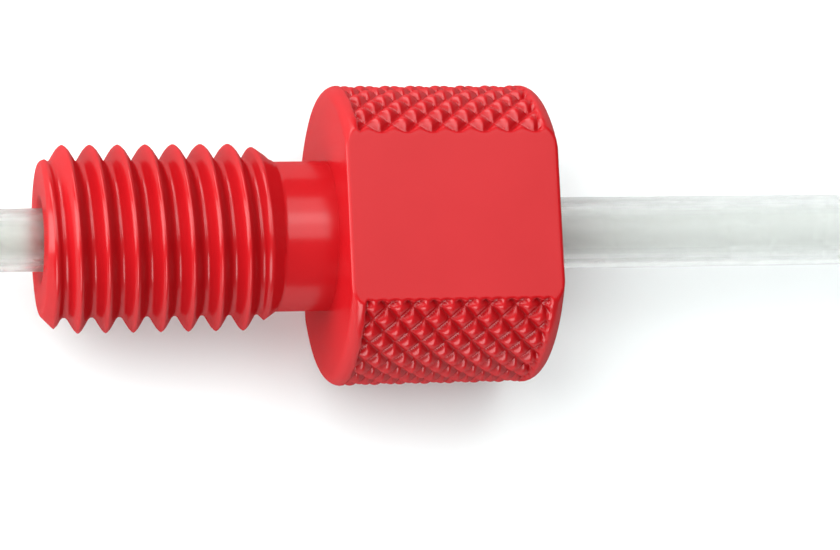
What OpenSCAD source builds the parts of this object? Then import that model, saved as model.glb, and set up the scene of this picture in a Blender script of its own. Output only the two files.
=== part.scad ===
// Finger-tight fitting for small bore tubing.
// A moulded nut with a coarse 28 per inch thread and a diamond-knurled head turns freely on a clear tube.
// The axis of the nut is X, the centre of its front face is the origin, and it lies on one wrench flat.

/* [Thread] */
// Outer diameter of the thread
thread_d = 6.15; // [5.6:0.05:6.6]
// Rise of the thread in one turn
thread_pitch = 0.907; // [0.75:0.001:1.05]
// Distance from the front face to the place where the thread has run out into the neck
thread_len = 7.6; // [5:0.1:12]
// Diameter of the front face, where the lead-in bevel starts
nose_d = 5; // [4:0.05:5.4]
// Distance from the front face to the thread's crest on the +Y side
thread_start = 0.73; // [0.1:0.01:0.9]

/* [Neck] */
// Diameter of the plain neck
neck_d = 4.95; // [4:0.05:5.05]
// Length of the plain neck, from the end of the thread to the head
neck_len = 1.83; // [0.5:0.01:5]

/* [Head] */
// Diameter of the head over the points of the knurl
head_d = 9.94; // [9:0.02:12]
// Length of the head
head_len = 7.05; // [5:0.05:12]
// Distance across the two wrench flats
flats_w = 8.15; // [7.2:0.05:8.8]
// Width of each flat's face, between its two straight edges
flat_face_w = 5.44; // [4:0.02:5.6]
// Radius of the rounded edge at the front of the head
front_round = 0.44; // [0.1:0.02:0.44]
// Radius of the rounded edge at the rear of the head
rear_round = 0.48; // [0.1:0.02:0.48]

/* [Knurl] */
// Number of knurl points in one ring
knurl_teeth = 30; // [24:1:40]
// Distance between knurl points along the head
knurl_pitch = 0.85; // [0.6:0.05:1.2]
// Depth of the knurl
knurl_depth = 0.28; // [0.15:0.01:0.35]
// Length of the plain band between the front of the head and the knurl
front_band = 0.46; // [0.46:0.02:1]
// Length of the plain band between the knurl and the rear of the head
rear_band = 0.5; // [0.5:0.02:1]

/* [Tube] */
// Outer diameter of the tube
tube_d = 2.4; // [1.8:0.05:3]
// Wall of the tube
tube_wall = 0.47; // [0.2:0.01:0.6]
// How much the drawn-down front end is thinner than the rest of the tube, in diameter
tip_draw = 0.34; // [0.1:0.02:0.5]
// Wall of the drawn-down front end
tip_wall = 0.41; // [0.2:0.01:0.5]
// Length of the tube in front of the nut
tube_front = 5; // [1:0.5:30]
// Length of the tube behind the nut
tube_rear = 22; // [5:0.5:60]
// Distance from the front face to the start of the tube's taper, inside the nut
taper_start = 0; // [0:0.1:6]
// Length of the tube's taper
taper_len = 2; // [0.5:0.1:5]

/* [Bore] */
// Clearance between the tube and the nut's bore, all round
tube_clearance = 0.03; // [0.02:0.01:0.09]
// Width of the bevel round each mouth of the bore
mouth_bevel = 0.2; // [0.1:0.05:0.4]

/* [Hidden] */
$fn = 96;

// Thread form: a 60 degree V, cut flat at the crest by the outer diameter
flank_angle = 30;
crest_flat = thread_pitch / 8;
thread_depth = 0.595 * thread_pitch;
thread_r = thread_d / 2;
root_r = thread_r - thread_depth;
// Steps in one turn of the thread
turn_steps = 40;
// The V runs on past the crest flat to this sharp point
point_r = thread_r + crest_flat / 2 / tan(flank_angle);
flank_w = (point_r - root_r) * tan(flank_angle);

shoulder_x = thread_len + neck_len;
rear_x = shoulder_x + head_len;
head_r = head_d / 2;
neck_r = neck_d / 2;
nose_r = nose_d / 2;
tube_r = tube_d / 2;
tip_r = tube_r - tip_draw / 2;
bore_r = tube_r + tube_clearance;
// Angle between the points of a rounded edge
round_step = 15;
// How far a cutting body reaches past what it cuts
reach = 1;

// Knurl grid: half a pitch along the head and half a tooth round it
knurl_rows = 2 * knurl_teeth;
knurl_step = knurl_pitch / 2;
knurl_cols = ceil(head_len / knurl_step) + 2;
// Start of the grid behind the head
knurl_x0 = rear_x + 0.6 * knurl_pitch;
// Turn of the grid about the axis, in degrees
knurl_turn = 1.5;

// A point at distance x along the axis, r from the axis and at angle a from +Y towards +Z
function axis_point(x, r, a) = [x, r * cos(a), r * sin(a)];

// Along-axis profile of one turn: start of the root flat, foot of the V, point of the V
thread_profile = [
    [flank_w, root_r],
    [thread_pitch - flank_w, root_r],
    [thread_pitch, point_r]
];
profile_n = len(thread_profile);

// Turns by which the ridge starts in front of the nose, before the lead-in bevel cuts it
spare_turns = 3;
thread_turns = ceil(thread_len / thread_pitch) + spare_turns;
thread_last = thread_turns * turn_steps;
thread_x0 = thread_start - spare_turns * thread_pitch;

function thread_vertex(i, j) = axis_point(
    thread_x0 + thread_pitch * i / turn_steps + thread_profile[j][0],
    thread_profile[j][1],
    360 * i / turn_steps
);

// Index of profile point j at step i; the profile's end is its own start one turn later
function thread_index(i, j) = j < profile_n ? i * profile_n + j : (i + turn_steps) * profile_n;

// A helical ridge as one closed body, with a fan and a stepped face at each end
module thread_body() {
    rings = thread_last + turn_steps;
    walls = [
        for (i = [0 : thread_last - 1])
            for (j = [0 : profile_n - 1])
                each [
                    [thread_index(i, j), thread_index(i, j + 1), thread_index(i + 1, j + 1)],
                    [thread_index(i, j), thread_index(i + 1, j + 1), thread_index(i + 1, j)]
                ]
    ];
    points = [
        for (i = [0 : rings])
            for (j = [0 : profile_n - 1])
                thread_vertex(i, j)
    ];
    front_hub = len(points);
    rear_hub = front_hub + 1;
    hubs = [
        [thread_x0 - thread_pitch, 0, 0],
        [thread_x0 + thread_pitch * (thread_turns + spare_turns), 0, 0]
    ];
    front_fan = [
        for (i = [0 : turn_steps - 1])
            [front_hub, thread_index(i, 0), thread_index(i + 1, 0)]
    ];
    front_step = [
        for (j = [0 : profile_n - 1])
            [front_hub, thread_index(0, j + 1), thread_index(0, j)]
    ];
    rear_fan = [
        for (i = [0 : turn_steps - 1])
            [rear_hub, thread_index(thread_last + i + 1, 0), thread_index(thread_last + i, 0)]
    ];
    rear_step = [
        for (j = [0 : profile_n - 1])
            [rear_hub, thread_index(thread_last, j), thread_index(thread_last, j + 1)]
    ];
    polyhedron(
        points = concat(points, hubs),
        faces = concat(walls, front_fan, front_step, rear_fan, rear_step)
    );
}

// Turns a profile of [r, x] points round the X axis
module turned(profile) {
    rotate([0, 90, 0])
        rotate_extrude()
            polygon(profile);
}

// The outside of the threaded end: nose bevel, crest, and the run-out that dips under the neck
module thread_envelope() {
    dip = 0.2;
    turned([
        [0, 0],
        [nose_r, 0],
        [thread_r, thread_r - nose_r],
        [thread_r, thread_len - (thread_r - neck_r)],
        [neck_r - dip, thread_len + dip],
        [0, thread_len + dip]
    ]);
}

module thread() {
    intersection() {
        thread_body();
        thread_envelope();
    }
}

module neck() {
    turned([
        [0, thread_len - reach],
        [neck_r, thread_len - reach],
        [neck_r, shoulder_x + reach],
        [0, shoulder_x + reach]
    ]);
}

// Knurl grid: points of the knurl and crossings of its grooves take turns, like a chessboard
function knurl_vertex(m, k) = axis_point(
    knurl_x0 - m * knurl_step,
    (m + k) % 2 == 0 ? head_r : head_r - knurl_depth,
    90 + knurl_turn + 360 * k / knurl_rows
);

function knurl_index(m, k) = m * knurl_rows + k % knurl_rows;

// Each square of the grid is cut along the groove that crosses it
function knurl_square(m, k) =
    let (
        a = knurl_index(m, k),
        b = knurl_index(m + 1, k),
        c = knurl_index(m + 1, k + 1),
        d = knurl_index(m, k + 1)
    )
    (m + k) % 2 == 0 ? [[a, d, b], [b, d, c]] : [[a, c, b], [a, d, c]];

module knurl_body() {
    points = [
        for (m = [0 : knurl_cols])
            for (k = [0 : knurl_rows - 1])
                knurl_vertex(m, k)
    ];
    squares = [
        for (m = [0 : knurl_cols - 1])
            for (k = [0 : knurl_rows - 1])
                each knurl_square(m, k)
    ];
    rear_hub = len(points);
    front_hub = rear_hub + 1;
    hubs = [
        [knurl_x0, 0, 0],
        [knurl_x0 - knurl_cols * knurl_step, 0, 0]
    ];
    rear_fan = [
        for (k = [0 : knurl_rows - 1])
            [rear_hub, knurl_index(0, k + 1), knurl_index(0, k)]
    ];
    front_fan = [
        for (k = [0 : knurl_rows - 1])
            [front_hub, knurl_index(knurl_cols, k), knurl_index(knurl_cols, k + 1)]
    ];
    polyhedron(points = concat(points, hubs), faces = concat(squares, rear_fan, front_fan));
}

// Points [r, x] of a rounded outer edge that leaves the end face at x and runs the way that side gives
function round_edge(x, radius, side) = [
    for (a = [0 : round_step : 90])
        [head_r - radius + radius * sin(a), x + side * radius * (1 - cos(a))]
];

// A plain band from the end face at x to the knurl, with a rounded outer edge
module band(x, length, radius, side) {
    turned(concat(
        [[0, x]],
        round_edge(x, radius, side),
        [[head_r, x + side * length], [0, x + side * length]]
    ));
}

// A bar along the head from one distance to another, centred on the axis
module bar(from, to, width, height) {
    translate([from, -width / 2, -height / 2])
        cube([to - from, width, height]);
}

// The grooves stop at the plain bands and at the straight edges of the flats
module head() {
    knurl_from = shoulder_x + front_band;
    knurl_to = rear_x - rear_band;
    intersection() {
        union() {
            intersection() {
                knurl_body();
                bar(knurl_from, knurl_to, 2 * head_d, 2 * head_d);
            }
            bar(knurl_from, knurl_to, flat_face_w, head_d);
            band(shoulder_x, front_band, front_round, 1);
            band(rear_x, rear_band, rear_round, -1);
        }
        bar(shoulder_x - reach, rear_x + reach, 2 * head_d, flats_w);
    }
}

module bore() {
    turned([
        [0, -reach],
        [bore_r + mouth_bevel + reach, -reach],
        [bore_r, mouth_bevel],
        [bore_r, rear_x - mouth_bevel],
        [bore_r + mouth_bevel + reach, rear_x + reach],
        [0, rear_x + reach]
    ]);
}

module nut() {
    color([0.87, 0.12, 0.15])
        difference() {
            union() {
                thread();
                neck();
                head();
            }
            bore();
        }
}

// The drawn-down front end, the taper and the full tube, turned as one section
module tube() {
    taper_end = taper_start + taper_len;
    color([0.86, 0.88, 0.86, 0.5])
        turned([
            [tip_r - tip_wall, -tube_front],
            [tip_r, -tube_front],
            [tip_r, taper_start],
            [tube_r, taper_end],
            [tube_r, rear_x + tube_rear],
            [tube_r - tube_wall, rear_x + tube_rear],
            [tube_r - tube_wall, taper_end],
            [tip_r - tip_wall, taper_start]
        ]);
}

nut();
tube();
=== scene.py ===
# %% [markdown]
# # A finger-tight fitting for clear tubing
#
# The object is one moulded red nut that turns on a short length of clear tube.
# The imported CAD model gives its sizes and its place: this lesson gives it its skin and its finish.
# The nut has two patterns that follow a rule, a screw thread and a diamond knurl, so Geometry Nodes make both.
# Everything between them is plain turned shape, and is made as a turner would: one profile, spun round the axis.

# %% The frame
from math import cos, pi, radians, sin, tan

import bmesh
import bpy
from mathutils import Matrix, Vector


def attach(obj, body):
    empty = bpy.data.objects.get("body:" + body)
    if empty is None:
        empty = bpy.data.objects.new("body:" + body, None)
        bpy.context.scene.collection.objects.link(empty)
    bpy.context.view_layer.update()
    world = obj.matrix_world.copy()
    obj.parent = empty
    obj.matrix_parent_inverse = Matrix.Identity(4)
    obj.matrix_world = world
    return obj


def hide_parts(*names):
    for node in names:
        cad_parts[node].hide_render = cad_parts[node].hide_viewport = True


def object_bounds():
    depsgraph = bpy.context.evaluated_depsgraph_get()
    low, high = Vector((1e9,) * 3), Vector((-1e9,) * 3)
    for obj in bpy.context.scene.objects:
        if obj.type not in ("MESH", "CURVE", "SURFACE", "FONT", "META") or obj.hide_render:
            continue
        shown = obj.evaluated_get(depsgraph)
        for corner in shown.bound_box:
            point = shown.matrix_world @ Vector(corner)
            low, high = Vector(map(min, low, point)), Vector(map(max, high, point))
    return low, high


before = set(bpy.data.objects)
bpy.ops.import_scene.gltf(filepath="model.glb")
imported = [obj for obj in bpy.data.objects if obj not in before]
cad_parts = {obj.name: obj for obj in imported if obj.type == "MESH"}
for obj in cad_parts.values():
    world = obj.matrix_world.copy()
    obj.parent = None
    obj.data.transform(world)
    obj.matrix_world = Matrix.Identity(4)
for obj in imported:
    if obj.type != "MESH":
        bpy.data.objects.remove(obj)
cad_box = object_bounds()

# %% [markdown]
# ## The sizes
#
# The axis of the nut is X, and the centre of its front face is the origin.
# Sizes are kept in millimetres, as a drawing gives them, and every mesh is scaled to metres once, when it is made.

# %% Sizes in millimetres
MM = 0.001

thread_r = 3.075
thread_pitch = 0.907
thread_depth = 0.54
thread_start = 0.73
thread_end = 7.7
nose_r = 2.5
neck_r = 2.475
shoulder_x = 9.43
rear_x = 16.48
head_r = 4.97
flat_h = 4.075
flat_half = 2.72
front_round = 0.44
rear_round = 0.48
knurl_teeth = 30
knurl_pitch = 0.85
knurl_depth = 0.28
front_band = 0.46
rear_band = 0.5
knurl_from = shoulder_x + front_band
knurl_to = rear_x - rear_band
bore_r = 1.23
mouth_bevel = 0.2
print("nut", rear_x, "mm long, head", 2 * head_r, "mm over the knurl")

# %% [markdown]
# ## Sums that build nodes
#
# A node tree is a sum drawn as boxes. It is easier to read as a sum.
# This small class wraps one socket: a sum on it adds the Math nodes, in a geometry tree and in a shader tree alike.
# Any other node comes from its one method, which sets the node's settings first and its sockets after.

# %% The wrapper for a socket
class Wire:
    """One output socket in a node tree, which can be added, multiplied and compared like a number."""

    def __init__(self, tree, socket=None):
        self.tree, self.socket = tree, socket

    def node(self, kind, settings=None, sockets=None, output=0):
        """A new node in the same tree, as the wire that leaves one of its outputs."""
        made = self.tree.nodes.new(kind)
        for name, value in (settings or {}).items():
            if name == "stops":
                ramp = made.color_ramp.elements
                while len(ramp) < len(value):
                    ramp.new(0.5)
                for stop, (place, colour) in zip(ramp, value):
                    stop.position, stop.color = place, colour
            else:
                setattr(made, name, value)
        for name, value in (sockets or {}).items():
            if isinstance(value, Wire):
                self.tree.links.new(value.socket, made.inputs[name])
            else:
                made.inputs[name].default_value = value
        return Wire(self.tree, made.outputs[output])

    def math(self, operation, *terms):
        return self.node("ShaderNodeMath", {"operation": operation}, dict(enumerate(terms)))

    def __add__(self, other): return self.math("ADD", self, other)
    def __radd__(self, other): return self.math("ADD", other, self)
    def __sub__(self, other): return self.math("SUBTRACT", self, other)
    def __rsub__(self, other): return self.math("SUBTRACT", other, self)
    def __mul__(self, other): return self.math("MULTIPLY", self, other)
    def __truediv__(self, other): return self.math("DIVIDE", self, other)
    def __pow__(self, other): return self.math("POWER", self, other)
    def __abs__(self): return self.math("ABSOLUTE", self)

    def least(self, other): return self.math("MINIMUM", self, other)
    def most(self, other): return self.math("MAXIMUM", self, other)
    def over(self, other): return self.math("GREATER_THAN", self, other)
    def soft_least(self, other, width): return self.math("SMOOTH_MIN", self, other, width)
    def soft_most(self, other, width): return self.math("SMOOTH_MAX", self, other, width)
    def floor(self): return self.math("FLOOR", self)

    def ramp(self, low, high):
        """0 up to low, 1 from high on, and a smooth step between them."""
        return self.node(
            "ShaderNodeMapRange", {"interpolation_type": "SMOOTHSTEP"},
            {"Value": self, "From Min": low, "From Max": high})


print("sums are ready")

# %% [markdown]
# ## A tree, its named inputs, and a plain mesh out of it
#
# A tree gets one named input for each size, so that it could be dropped on another nut and set again.
# The export keeps only plain meshes, so the result is copied out as a mesh and the modifier is taken off.

# %% Making and running a geometry tree
KINDS = {float: "NodeSocketFloat", int: "NodeSocketInt", bpy.types.Material: "NodeSocketMaterial"}


def new_tree(name, sizes):
    """An empty geometry tree, and a wire for each of its inputs."""
    tree = bpy.data.node_groups.new(name, "GeometryNodeTree")
    tree.interface.new_socket("Geometry", in_out="INPUT", socket_type="NodeSocketGeometry")
    tree.interface.new_socket("Geometry", in_out="OUTPUT", socket_type="NodeSocketGeometry")
    for title, value in sizes.items():
        tree.interface.new_socket(title, in_out="INPUT", socket_type=KINDS[type(value)])
    group = tree.nodes.new("NodeGroupInput")
    return tree, {title: Wire(tree, group.outputs[title]) for title in ["Geometry", *sizes]}


def finish_tree(tree, shape, material):
    """Ends a tree: instances become real, and the material is set."""
    start = Wire(tree)
    shape = start.node("GeometryNodeRealizeInstances", None, {"Geometry": shape})
    shape = start.node("GeometryNodeSetMaterial", None, {"Geometry": shape, "Material": material})
    tree.links.new(shape.socket, tree.nodes.new("NodeGroupOutput").inputs["Geometry"])


def run_tree(tree, sizes, mesh, name):
    """The plain mesh that a tree makes out of another, with its inputs set to the given sizes."""
    holder = bpy.data.objects.new(name, mesh)
    bpy.context.scene.collection.objects.link(holder)
    modifier = holder.modifiers.new(tree.name, "NODES")
    modifier.node_group = tree
    for item in tree.interface.items_tree:
        if item.in_out == "INPUT" and item.name in sizes:
            modifier[item.identifier] = sizes[item.name]
    ready = holder.evaluated_get(bpy.context.evaluated_depsgraph_get())
    made = bpy.data.meshes.new_from_object(ready)
    bpy.data.objects.remove(holder)
    print(name, "from", tree.name + ":", len(made.vertices), "points")
    return made


# %% [markdown]
# ## The columns round the axis
#
# Every part of the skin uses the same angles round the axis, so that the parts can be welded into one closed skin.
# The knurl needs fine columns. The two flats lie round +Z and -Z, and need only a few.

# %% Column angles, once as numbers and once as a sum for the trees
quarter_fine = 83
fine_angle = 0.75
quarter_wide = 9
quarter = quarter_fine + quarter_wide
wide_angle = (90 - quarter_fine * fine_angle) / quarter_wide
columns = 4 * quarter


def column_angle(column):
    """The angle in degrees of a column, a number, from +Y towards +Z."""
    part, step = divmod(column, quarter)
    odd = part % 2
    step = quarter - step if odd else step
    turn = min(step, quarter_fine) * fine_angle + max(step - quarter_fine, 0) * wide_angle
    return 90 * (part + odd) + (-turn if odd else turn)


def column_angle_wire(column):
    """The same angle as a sum for a tree, in degrees."""
    nudge = 1e-4  # keeps a whole number from being rounded down
    part = (column / quarter + nudge).floor()
    odd = part.math("MODULO", part, 2)
    step = column - part * quarter
    step = step + odd * (quarter - step * 2)
    turn = step.least(quarter_fine) * fine_angle + (step - quarter_fine).most(0) * wide_angle
    return (part + odd) * 90 + turn * (1 - odd * 2)


angles = [radians(column_angle(c)) for c in range(columns)]
print(columns, "columns, fine ones every", fine_angle, "degrees")

# %% [markdown]
# ## The red plastic
#
# The nut is moulded in one bright red plastic, smooth but not mirror-like.
# Moulded plastic is never quite even: the colour clouds very slightly, and the skin has a faint ripple that breaks up
# its reflections. Both come from noise on Object coordinates, so they stay put when the piece moves.
# The gloss is a weak coat with a high refractive index. It reflects about as much at every angle, where a plain
# specular layer would turn pale at the edges and wash out the red. The two flats are duller, so the coat is
# weaker there: the height above the axis tells where they are.

# %% Red plastic
red_plastic = bpy.data.materials.new("red_moulded_plastic")
red_plastic.use_nodes = True
shader = red_plastic.node_tree.nodes["Principled BSDF"]
start = Wire(red_plastic.node_tree)
place = start.node("ShaderNodeTexCoord", output="Object")
cloud = start.node("ShaderNodeTexNoise", None, {"Vector": place, "Scale": 350.0, "Detail": 3.0})
colour = start.node(
    "ShaderNodeValToRGB",
    {"stops": [(0.3, (0.345, 0.0045, 0.007, 1)), (0.7, (0.365, 0.006, 0.009, 1))]},
    {"Fac": cloud})
ripple = start.node("ShaderNodeTexNoise", None, {"Vector": place, "Scale": 2500.0, "Detail": 2.0})
bump = start.node("ShaderNodeBump", None, {"Strength": 0.06, "Distance": 0.00002, "Height": ripple})
links = red_plastic.node_tree.links
links.new(colour.socket, shader.inputs["Base Color"])
links.new((0.30 + ripple * 0.08).socket, shader.inputs["Roughness"])
links.new(bump.socket, shader.inputs["Normal"])
shader.inputs["Specular IOR Level"].default_value = 0.0
height = abs(start.node("ShaderNodeSeparateXYZ", None, {0: place}, output=2)) / MM
on_flat = height.ramp(flat_h - 0.04, flat_h - 0.01)
gloss, duller = 0.14, 0.075
links.new((gloss - on_flat * duller).socket, shader.inputs["Coat Weight"])
shader.inputs["Coat Roughness"].default_value = 0.21
shader.inputs["Coat IOR"].default_value = 2.6
print("made", red_plastic.name)

# %% [markdown]
# ## The screw thread
#
# The thread is a ridge that climbs one pitch in each turn. A Screw modifier could sweep a V round the axis, but both
# ends of the ridge would still have to be cut to shape. Here a flat grid is rolled round the axis and sheared, so that
# its rows run along the ridge, and the shape of the ends is only another sum. A row that runs along a crest keeps the
# crest crisp.

# %% The thread tree, and its rows
row_count = 12
pitch_count = 10
pitches_before = 2
crest_spare = 0.02
thread_sizes = {
    "Crest radius": thread_r + crest_spare, "Pitch": thread_pitch, "Depth": thread_depth, "First crest": thread_start,
    "Front": 0.05, "Rear": thread_end, "Nose radius": nose_r, "Neck radius": neck_r,
    "Crest rounding": 0.35, "Root rounding": 0.11, "Rows in a pitch": row_count, "Material": red_plastic,
}
thread_tree, size = new_tree("thread_cutter", thread_sizes)
start = Wire(thread_tree)
rows = pitch_count * row_count
grid = start.node("GeometryNodeMeshGrid", None, {
    "Size X": float(rows), "Size Y": float(columns), "Vertices X": rows + 1, "Vertices Y": columns + 1})
point = start.node("GeometryNodeInputPosition")
row = start.node("ShaderNodeSeparateXYZ", None, {0: point}) + rows / 2
column = start.node("ShaderNodeSeparateXYZ", None, {0: point}, output=1) + columns / 2
turn = column_angle_wire(column)

# rows crowd together at the crest and at the root, where the surface bends
pitches = row / size["Rows in a pitch"]
crowding = 0.5
two_waves = 4 * pi
pitches = pitches - (pitches * two_waves).math("SINE", pitches * two_waves) * (crowding / two_waves)
along = size["First crest"] + size["Pitch"] * (pitches - pitches_before + turn / 360)
print(rows + 1, "rows of", columns + 1, "points")

# %% [markdown]
# The radius of each point is a V between a root and a crest, with soft corners.
# The crest's soft corners take a little off its top, so the crest is set a little higher than the drawing has it.
# Two cones trim it: the lead-in at the nose, and the run-out at the neck.

# %% The radius of the thread
nudge = 1e-5  # keeps a row on a crest on the same side of it
phase = pitches.math("FRACT", pitches + nudge)
from_crest = 0.5 - abs(phase - 0.5)

# the sharp point that the V would have, if its crest weren't cut flat to an eighth of a pitch
flank_slope = 1 / tan(radians(30))
crest_flat = 1 / 8
sharp_r = size["Crest radius"] + size["Pitch"] * (flank_slope * crest_flat / 2)
ridge = sharp_r - from_crest * size["Pitch"] * flank_slope
ridge = ridge.soft_most(size["Crest radius"] - size["Depth"], size["Root rounding"])
ridge = ridge.soft_least(size["Crest radius"], size["Crest rounding"])
lead_in = size["Nose radius"] + along
run_out_slope = 0.7
run_out = size["Neck radius"] + (size["Rear"] - along) * run_out_slope
lead_in_softness, run_out_softness = 0.15, 0.05
radius = ridge.soft_least(lead_in, lead_in_softness).soft_least(run_out, run_out_softness)
print("the flanks rise", round(flank_slope, 2), "mm for each mm along")

# %% [markdown]
# Past either end the skin closes on a plain ring, ready to be welded. Then each point's distance, radius and angle
# become its place, and the grid's two long edges, which now lie on each other, are merged.

# %% The skin of the thread
in_front = size["Front"].over(along)
behind = along.over(size["Rear"])
radius = radius + in_front * (size["Nose radius"] + size["Front"] - radius)
radius = radius + behind * (size["Neck radius"] - radius)
along = along.most(size["Front"]).least(size["Rear"])
spin = turn * (pi / 180)
place = start.node("ShaderNodeCombineXYZ", None, {
    0: along * MM, 1: radius * spin.math("COSINE", spin) * MM, 2: radius * spin.math("SINE", spin) * MM})
skin = start.node("GeometryNodeSetPosition", None, {"Geometry": grid, "Position": place})
skin = start.node("GeometryNodeMergeByDistance", None, {"Geometry": skin, "Distance": 2e-6})
finish_tree(thread_tree, skin, size["Material"])
thread_skin = run_tree(thread_tree, thread_sizes, bpy.data.meshes.new("empty"), "thread_skin")

# %% [markdown]
# ## The turned blank
#
# The rest of the nut starts as a plain turned blank: a list of rings, each a distance along the axis and a radius.
# It begins where the thread runs out, goes over the neck and the head, and comes back through the bore to the nose.
# The rings stand close together on the head, because the next tree cuts the knurl into them. Sixteen rings in a pitch
# match the sixteen columns in a tooth, and the shift puts a ring on each crossing of the grooves.
# An extra ring close to a corner keeps the corner's shading tight.

# %% Rings of the blank
def arc(x, r, radius, start_angle, end_angle, steps):
    """Rings on an arc round the point x, r. At 0 degrees the arc points along the axis."""
    spread = [start_angle + (end_angle - start_angle) * i / steps for i in range(steps + 1)]
    return [(x + radius * cos(radians(a)), r + radius * sin(radians(a))) for a in spread]


knurl_row = knurl_pitch / 16
row_shift = 0.4
first_row = round((rear_x - knurl_to) / knurl_row)
last_row = round((rear_x - knurl_from) / knurl_row)
close = 0.1
arc_steps = 8
bore_steps = 8
mouth_r = bore_r + mouth_bevel

# the neck and the shoulder
rings = [(thread_end, neck_r), (thread_end + close, neck_r), (shoulder_x - close, neck_r), (shoulder_x, neck_r)]
rings += [(shoulder_x, neck_r + close)]

# the head, with its two rounded edges; the front one stops short, where the knurl's rings take over
rings += arc(shoulder_x + front_round, head_r - front_round, front_round, 180, 96, arc_steps)
rings += [(rear_x - (i + row_shift) * knurl_row, head_r) for i in range(last_row, first_row, -1)]
rings += arc(rear_x - rear_round, head_r - rear_round, rear_round, 90, 0, arc_steps)

# the bore and its two bevelled mouths
rings += [(rear_x, mouth_r + 0.04), (rear_x - 0.03, mouth_r - 0.02)]
rings += [(rear_x - mouth_bevel, bore_r), (rear_x - mouth_bevel - close, bore_r)]
rings += [(rear_x * i / bore_steps, bore_r) for i in range(bore_steps - 1, 0, -1)]
rings += [(mouth_bevel + close, bore_r), (mouth_bevel, bore_r)]
rings += [(0.03, mouth_r - 0.02), (0, mouth_r + 0.04)]

# the front face and its soft outer edge
rings += [(0, nose_r - close), (0, nose_r - 0.03), (0.015, nose_r + 0.01), (0.05, nose_r + 0.05)]
print(len(rings), "rings,", len(rings) * columns, "points")

# %% [markdown]
# A profile becomes a mesh by placing each ring's points at the column angles, and joining each ring to the next.

# %% Spinning a profile
def spin_profile(name, profile, turns, closed=False):
    """A mesh from rings [x, r] in millimetres and angles in radians. Closed joins the last ring to the first."""
    shape = bmesh.new()
    loops = [
        [shape.verts.new((x * MM, r * cos(a) * MM, r * sin(a) * MM)) for a in turns]
        for x, r in profile]
    pairs = list(zip(loops, loops[1:])) + ([(loops[-1], loops[0])] if closed else [])
    for lower, upper in pairs:
        for i in range(len(turns)):
            j = (i + 1) % len(turns)
            shape.faces.new((lower[i], lower[j], upper[j], upper[i]))
    mesh = bpy.data.meshes.new(name)
    shape.to_mesh(mesh)
    shape.free()
    return mesh


blank = spin_profile("turned_blank", rings, angles)
print("blank:", len(blank.polygons), "faces")

# %% [markdown]
# ## The knurl and the flats
#
# Fingers grip the head by its knurl, and a spanner by its flats. A Boolean could cut each groove, but it is slow, and
# leaves ragged faces at the crossings. The blank already has its points where they are needed, so this tree only
# moves them in towards the axis. It starts from where each point is.

# %% The knurl tree, and the place of each point
knurl_turn = radians(1.5)
knurl_sizes = {
    "Head radius": head_r, "Teeth": float(knurl_teeth), "Pitch": knurl_pitch, "Depth": knurl_depth,
    "Turn": knurl_turn, "From": knurl_from, "To": knurl_to, "Rear": rear_x, "Shoulder": shoulder_x,
    "Flat height": flat_h, "Flat half width": flat_half, "Edge rounding": 0.12, "Material": red_plastic,
}
knurl_tree, size = new_tree("knurl_cutter", knurl_sizes)
start = Wire(knurl_tree)
point = start.node("GeometryNodeInputPosition")
along, side, up = [start.node("ShaderNodeSeparateXYZ", None, {0: point}, output=i) / MM for i in range(3)]
turned_r = (side * side + up * up).math("SQRT", side * side + up * up)
turn = up.math("ARCTAN2", up, side)
cosine, sine = side / turned_r, up / turned_r
print(knurl_teeth, "teeth round the head,", round((knurl_to - knurl_from) / knurl_pitch, 1), "pitches along it")

# %% [markdown]
# A diamond knurl is two sets of slanting grooves that cross. Each set is one triangle wave, and the deeper one wins.
# The real mould rounds the points and keeps the grooves narrow, so the wave is bent by a power and softly joined.
# The knurl stops at a plain band at each end of the head, and at the straight edges of the two flats.

# %% The grooves
behind_head = 0.6  # the pattern starts this many pitches behind the head
around = ((turn - size["Turn"]) / (2 * pi) - 0.25) * size["Teeth"]
lean = (size["Rear"] - along) / size["Pitch"] + behind_head


def groove(phase):
    """0 on the line of the points, 1 at the bottom of the groove."""
    return abs(phase - (phase + 0.5).floor()) * 2


joint_softness = 0.3
narrowing = 2.2
both = groove(around + lean).soft_most(groove(around - lean), joint_softness)
depth = both.least(1) ** narrowing

# the grooves fade out over a few hundredths of a millimetre, at the bands and at the flats' straight edges
fade = 0.03
half_depth = 0.14
inside = along.ramp(size["From"] - fade, size["From"] + fade) * (size["To"] - along).ramp(-fade, fade)
sideways = abs(cosine) * (size["Head radius"] - half_depth)
beside = sideways.ramp(size["Flat half width"] - fade, size["Flat half width"] + 0.05)
radius = turned_r.least(size["Head radius"] - size["Depth"] * depth * inside * beside)
print("grooves", knurl_depth, "mm deep")

# %% [markdown]
# A flat at height h is met at radius h / sin(angle), so it is one more sum, and the least radius wins.
# Its front and rear edges are rounded: near an end, the flat drops away along a quarter circle.

# %% The flats, and the skin of the head
least_sine = 0.2  # keeps the sum finite at the sides of the head
flat_r = size["Flat height"] / abs(sine).most(least_sine)
to_end = (along - size["Shoulder"]).least(size["Rear"] - along).least(size["Edge rounding"])
short = size["Edge rounding"] - to_end
drop = size["Edge rounding"] - short.math("SQRT", size["Edge rounding"] ** 2 - short * short)
flat_softness = 0.06
radius = radius.soft_least(flat_r - drop, flat_softness)

# only the head is moved: the neck and the bore lie well inside this radius
head_only_r = 3.0
place = start.node("ShaderNodeCombineXYZ", None, {0: along * MM, 1: radius * cosine * MM, 2: radius * sine * MM})
on_head = turned_r.over(head_only_r)
skin = start.node(
    "GeometryNodeSetPosition", None, {"Geometry": size["Geometry"], "Selection": on_head, "Position": place})
finish_tree(knurl_tree, skin, size["Material"])
head_skin = run_tree(knurl_tree, knurl_sizes, blank, "head_skin")

# %% [markdown]
# The rings and columns are spaced so that each groove runs corner to corner through the faces. A face bends along
# one of its diagonals, and the lower diagonal is the one that lies in the groove, so each face is cut along it.

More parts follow.
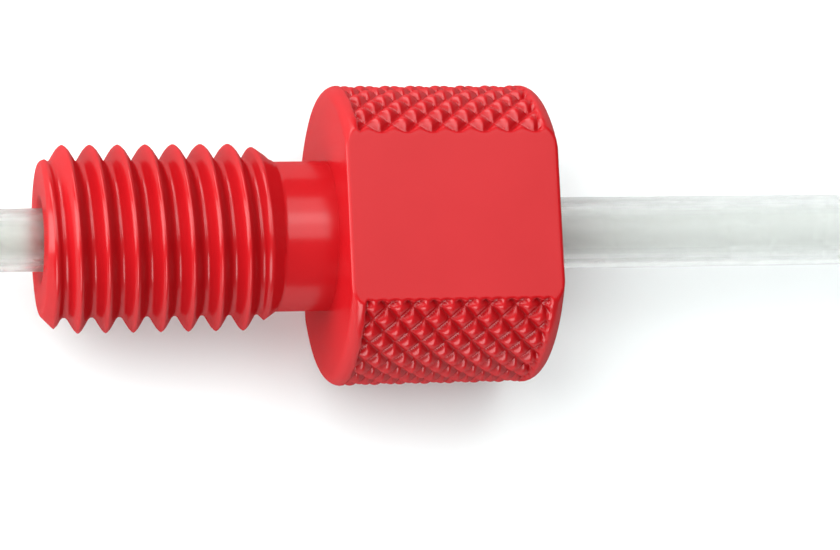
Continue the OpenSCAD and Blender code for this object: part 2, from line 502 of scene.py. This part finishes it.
# %% Cutting the faces along the grooves
def on_head_side(vert):
    """True on the outside of the head, in front of its rear band."""
    side_r = 4
    return vert.co.yz.length > side_r * MM and vert.co.x < knurl_to * MM


def cut_along_grooves(mesh):
    """Cuts each face of the head's side in two, along its lower diagonal."""
    shape = bmesh.new()
    shape.from_mesh(mesh)
    on_knurl = [face for face in shape.faces if len(face.verts) == 4 and all(map(on_head_side, face.verts))]
    for face in on_knurl:
        a, b, c, d = face.verts
        lower = min(((a, c), (b, d)), key=lambda ends: sum(vert.co.yz.length for vert in ends))
        bmesh.utils.face_split(face, *lower)
    shape.to_mesh(mesh)
    shape.free()
    print(len(on_knurl), "faces of the head cut in two")


cut_along_grooves(head_skin)

# %% [markdown]
# ## Welding the nut
#
# The thread's skin and the turned skin share their end rings, so merging points that coincide gives one closed skin.
# A closed skin has exactly two faces at every edge, which is what the count below tests.
# It is all shaded smooth but for one corner: the neck meets the head in a sharp ring.
# Weighted normals keep the flats and the end faces even, where they meet rounded edges.

# %% The sharp corner
def on_corner(vert):
    """True on the sharp corner where the neck meets the head."""
    slack = 0.01
    return abs(vert.co.x - shoulder_x * MM) < 1e-6 and vert.co.yz.length < (neck_r + slack) * MM


# %% One closed skin
def weld(name, meshes, material, gap=2e-6):
    """One mesh from several whose rims coincide, merged within a gap in metres, with its normals outward."""
    shape = bmesh.new()
    for mesh in meshes:
        shape.from_mesh(mesh)
    bmesh.ops.remove_doubles(shape, verts=shape.verts, dist=gap)
    bmesh.ops.dissolve_degenerate(shape, edges=shape.edges, dist=1e-7)
    bmesh.ops.recalc_face_normals(shape, faces=shape.faces)
    for edge in shape.edges:
        edge.smooth = not all(on_corner(vert) for vert in edge.verts)
    open_edges = sum(len(e.link_faces) != 2 for e in shape.edges)
    volume = shape.calc_volume() / MM ** 3
    joined = bpy.data.meshes.new(name)
    shape.to_mesh(joined)
    shape.free()
    joined.materials.clear()
    joined.materials.append(material)
    joined.polygons.foreach_set("use_smooth", [True] * len(joined.polygons))
    joined.polygons.foreach_set("material_index", [0] * len(joined.polygons))
    triangles = sum(len(p.vertices) - 2 for p in joined.polygons)
    print(f"{name}: {triangles} triangles, {open_edges} open edges, {volume:.1f} mm3")
    return joined


# %% The nut
def add_piece(name, mesh):
    """A new object at the origin that shows a mesh."""
    piece = bpy.data.objects.new(name, mesh)
    bpy.context.scene.collection.objects.link(piece)
    return piece


nut = add_piece("nut_skin", weld("nut_skin", [thread_skin, head_skin], red_plastic))
weights = nut.modifiers.new("even_faces", "WEIGHTED_NORMAL")
weights.keep_sharp = True
nut.data = bpy.data.meshes.new_from_object(nut.evaluated_get(bpy.context.evaluated_depsgraph_get()))
nut.modifiers.clear()
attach(nut, "nut")
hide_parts("nut")

# %% [markdown]
# ## The clear tube
#
# The tube is clear plastic with a thick wall. Its front end is drawn down a little, where it passes into the port.
# A curve with a round bevel could make it, but would have no bore. A profile that is a closed loop, out along the
# bore and back along the outside, gives a real wall for the light to bend in.
# The plastic bends light, and lets some of it straight through as well, which stands for its faint haze.
# The drawn-down end is a shade darker than the rest: the change runs over the hidden taper.

# %% Tube profile
tube_r = 1.2
tube_bore = 0.73
tip_r = 1.03
tip_bore = 0.62
taper = 2.0
tube_from = -5.0
tube_to = rear_x + 22.0
ease = 0.03
tube_rings = [
    (tube_from + ease, tip_bore), (0.0, tip_bore), (taper, tube_bore), (tube_to - ease, tube_bore),
    (tube_to, tube_bore + ease), (tube_to, tube_r - ease), (tube_to - ease, tube_r),
    (taper, tube_r), (0.0, tip_r), (tube_from + ease, tip_r),
    (tube_from, tip_r - ease), (tube_from, tip_bore + ease)]
tube_columns = 96
tube_turns = [2 * pi * i / tube_columns for i in range(tube_columns)]
tube_mesh = spin_profile("clear_tube", tube_rings, tube_turns, closed=True)
print("tube:", round(tube_to - tube_from, 2), "mm long")

# %% Clear plastic
clear_plastic = bpy.data.materials.new("clear_tube_plastic")
clear_plastic.use_nodes = True
shader = clear_plastic.node_tree.nodes["Principled BSDF"]
start = Wire(clear_plastic.node_tree)
place = start.node("ShaderNodeTexCoord", output="Object")
haze = start.node("ShaderNodeTexNoise", None, {"Vector": place, "Scale": 300.0, "Detail": 2.0})
full_size = (start.node("ShaderNodeSeparateXYZ", None, {0: place}) / MM).ramp(0.0, taper)
colour = start.node(
    "ShaderNodeValToRGB",
    {"stops": [
        (0.05, (0.62, 0.645, 0.61, 1)), (0.25, (0.65, 0.675, 0.64, 1)),
        (0.80, (0.735, 0.75, 0.73, 1)), (0.95, (0.765, 0.78, 0.76, 1))]},
    {"Fac": haze * 0.3 + full_size * 0.7})
links = clear_plastic.node_tree.links
links.new(colour.socket, shader.inputs["Base Color"])
links.new((0.25 + haze * 0.04).socket, shader.inputs["Roughness"])
shader.inputs["IOR"].default_value = 1.38
shader.inputs["Transmission Weight"].default_value = 0.92
shader.inputs["Alpha"].default_value = 0.78
tube = add_piece("clear_tube", weld("clear_tube", [tube_mesh], clear_plastic))
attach(tube, "tube")
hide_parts("tube")

# %% [markdown]
# ## The floor
#
# A wide pale floor lies right under the lower flat, where the fitting rests.
# It is a little less red than white, which evens out the red that the nut throws on it.

# %% Floor
floor_white = bpy.data.materials.new("floor_white")
floor_white.use_nodes = True
shader = floor_white.node_tree.nodes["Principled BSDF"]
start = Wire(floor_white.node_tree)
place = start.node("ShaderNodeTexCoord", output="Object")
grain = start.node("ShaderNodeTexNoise", None, {"Vector": place, "Scale": 40.0})
colour = start.node(
    "ShaderNodeValToRGB",
    {"stops": [(0.0, (0.73, 0.77, 0.77, 1)), (1.0, (0.75, 0.79, 0.79, 1))]},
    {"Fac": grain})
floor_white.node_tree.links.new(colour.socket, shader.inputs["Base Color"])
shader.inputs["Roughness"].default_value = 0.9
shader.inputs["Specular IOR Level"].default_value = 0.1
floor_half = 1.0
floor_z = cad_box[0][2]
floor_mesh = bpy.data.meshes.new("floor")
corners = [(x * floor_half, y * floor_half, floor_z) for x, y in ((-1, -1), (1, -1), (1, 1), (-1, 1))]
floor_mesh.from_pydata(corners, [], [(0, 1, 2, 3)])
floor_mesh.materials.append(floor_white)
floor = add_piece("floor", floor_mesh)
print("floor at", round(floor_z / MM, 3), "mm")

# %% [markdown]
# ## Camera and light
#
# The camera looks down on the flat, a little from the threaded end and a little from below the axis.
# It stands about 100 mm away with a long lens, so the perspective is gentle.

# %% Camera
camera_at = Vector((-10.99, -15.68, 101.54)) * MM
look = Vector((0.22425, 0.13615, -0.96498)).normalized()
right = Vector((0.97441, -0.04738, 0.21976))
right = (right - right.dot(look) * look).normalized()
upward = right.cross(look)
lens_data = bpy.data.cameras.new("camera")
lens_data.lens = 135.6
lens_data.clip_start = 0.005
camera = bpy.data.objects.new("camera", lens_data)
camera.matrix_world = Matrix.Translation(camera_at) @ Matrix((right, upward, -look)).transposed().to_4x4()
bpy.context.scene.collection.objects.link(camera)
bpy.context.scene.camera = camera
print("camera at", [round(c / MM, 1) for c in camera_at], "mm")

# %% [markdown]
# Six round lights stand 0.3 m off. Each is soft, but small enough to be seen as a band or a glint in the gloss.
# The left and low left ones draw the bands along the crests of the thread. The bright one, nearly over the nut, is
# the highlight along the neck and in the thread's roots. The far left and near left ones give the knurl its glints.
# The left and overhead ones stand on the far side, so the contact shadow falls to the near side.
# A light's strength is given as its radiance: a wider light throws more on the floor, and its glint is as bright.

# %% Lights
aim = Vector((0.010, 0, 0))


def add_light(name, toward, spread, radiance, far=0.30):
    """A round soft light, far metres off in a direction, spread degrees from its middle to its rim."""
    data = bpy.data.lights.new(name, "AREA")
    radius = far * tan(radians(spread))
    data.shape, data.size = "DISK", 2 * radius
    data.energy = radiance * pi * pi * radius ** 2
    light = bpy.data.objects.new(name, data)
    way = Vector(toward).normalized()
    light.location = aim + way * far
    light.rotation_euler = way.to_track_quat("Z", "Y").to_euler()
    bpy.context.scene.collection.objects.link(light)
    print(name, "light,", round(data.energy, 3), "W")


add_light("left", (-0.55, 0.27, 0.79), 24, 4.6)
add_light("low left", (-0.97, 0.10, 0.18), 17, 7.0)
add_light("overhead", (0.05, 0.52, 0.85), 22, 2.3)
add_light("bright", (0.20, 0.13, 0.97), 19, 2.9)
add_light("far left", (-0.45, 0.82, 0.34), 18, 6.0)
add_light("near left", (-0.50, -0.74, 0.44), 19, 6.5)
world = bpy.data.worlds.new("studio")
world.use_nodes = True
background = world.node_tree.nodes["Background"]
background.inputs["Color"].default_value = (1, 1, 1, 1)
background.inputs["Strength"].default_value = 0.24
bpy.context.scene.world = world
bpy.context.scene.view_settings.view_transform = "Standard"
print("six soft lights in a dim white room")
